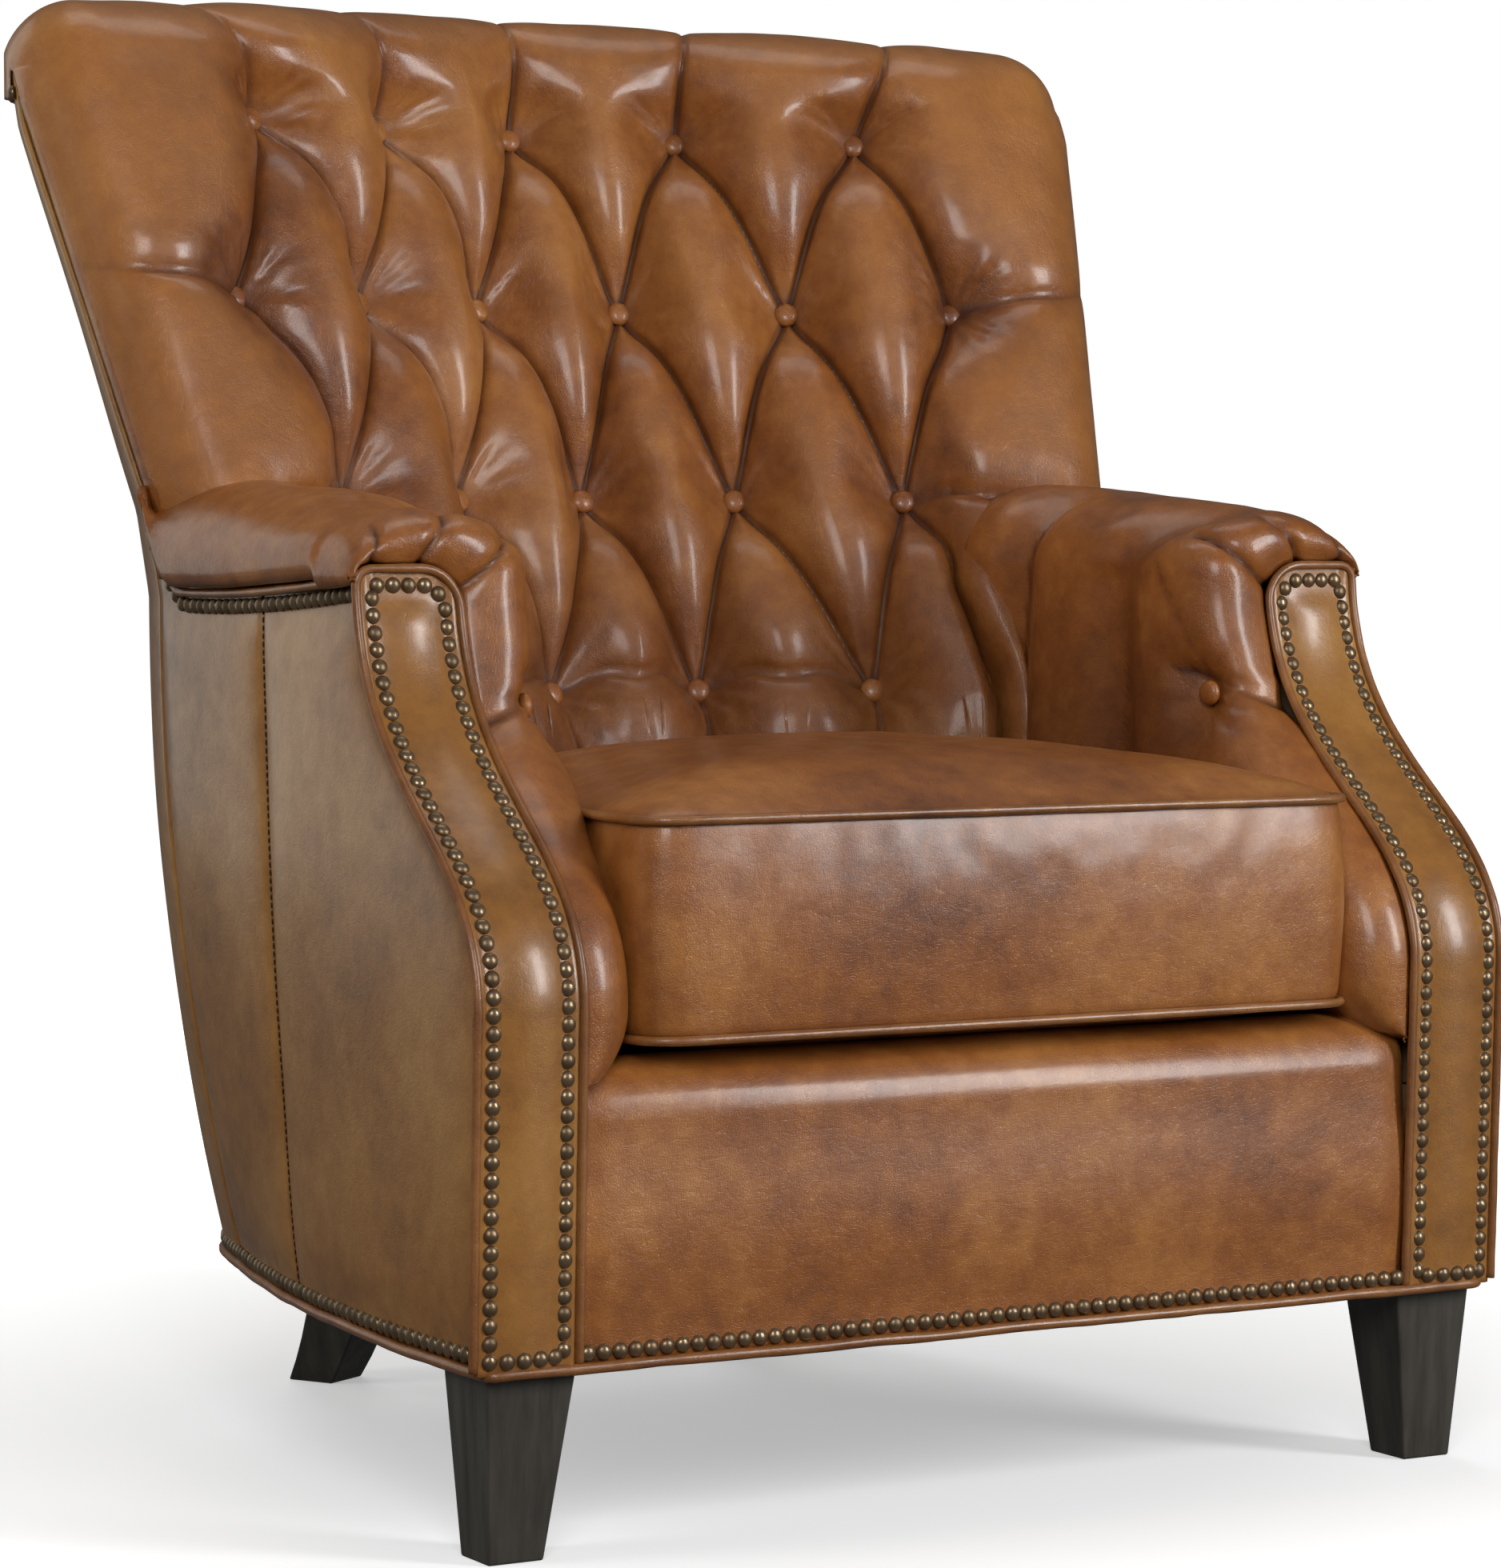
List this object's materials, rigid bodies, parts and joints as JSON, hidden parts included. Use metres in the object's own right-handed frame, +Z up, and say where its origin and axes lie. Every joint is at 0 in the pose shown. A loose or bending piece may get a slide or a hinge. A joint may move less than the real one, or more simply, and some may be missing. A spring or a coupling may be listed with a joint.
{
  "type": "upholstered armchair",
  "caption": "Barrel-back club armchair with flared wings, deep diamond tufting, rolled arms, a loose box cushion, nailed edges and tapered legs.",
  "frame": {"origin": "on the floor, under the middle of the chair's overall box", "axes": "+X to the sitter's left, -Y to the front, +Z up"},
  "size_m": [0.8892, 0.8192, 1.042],
  "materials": {
    "leather": "semi-gloss burnished cognac",
    "outside_leather": "semi-gloss burnished tan",
    "welt_leather": "semi-gloss piping",
    "nail_bronze": "antique bronze",
    "espresso_wood": "satin dark stain",
    "hardwood": "bare kiln-dried hardwood",
    "spring_steel": "oiled",
    "black_cloth": "non-woven",
    "jute_webbing": "woven",
    "foam": "open-cell"
  },
  "bodies": {
    "chair": {"inside_back": "leather", "button_row_1": "leather", "button_row_2": "leather", "button_row_3": "leather", "button_row_4": "leather", "left_arm_pad": "leather", "right_arm_pad": "leather", "front_rail_cover": "leather", "outside_back": "outside_leather", "left_outside_arm": "outside_leather", "right_outside_arm": "outside_leather", "left_arm_panel": "outside_leather", "right_arm_panel": "outside_leather", "left_arm_panel_welt": "welt_leather", "right_arm_panel_welt": "welt_leather", "base_welt": "welt_leather", "left_arm_front_nails": "nail_bronze", "right_arm_front_nails": "nail_bronze", "front_base_nails": "nail_bronze", "rear_base_nails": "nail_bronze", "left_arm_side_nails": "nail_bronze", "right_arm_side_nails": "nail_bronze", "left_front_leg": "espresso_wood", "right_front_leg": "espresso_wood", "left_rear_leg": "espresso_wood", "right_rear_leg": "espresso_wood", "left_front_corner_block": "hardwood", "right_front_corner_block": "hardwood", "left_rear_corner_block": "hardwood", "right_rear_corner_block": "hardwood", "front_seat_rail": "hardwood", "rear_seat_rail": "hardwood", "left_side_rail": "hardwood", "right_side_rail": "hardwood", "left_arm_post": "hardwood", "right_arm_post": "hardwood", "left_arm_rail": "hardwood", "right_arm_rail": "hardwood", "left_back_post": "hardwood", "right_back_post": "hardwood", "left_wing_post": "hardwood", "right_wing_post": "hardwood", "back_top_rail": "hardwood", "left_front_leg_bolt": "spring_steel", "right_front_leg_bolt": "spring_steel", "left_rear_leg_bolt": "spring_steel", "right_rear_leg_bolt": "spring_steel", "front_spring_strip": "spring_steel", "rear_spring_strip": "spring_steel", "seat_spring_1": "spring_steel", "seat_spring_2": "spring_steel", "seat_spring_3": "spring_steel", "seat_spring_4": "spring_steel", "seat_deck": "black_cloth", "dust_cover": "black_cloth", "back_webbing": "jute_webbing"},
    "seat_cushion": {"cushion_cover": "leather", "cushion_zipper": "black_cloth", "cushion_core": "foam"}
  },
  "joints": [
    {"name": "seat_cushion_lift", "type": "slide", "parent": "chair", "child": "seat_cushion", "axis": [0, 0, 1], "range_m": [0, 0.35]}
  ]
}
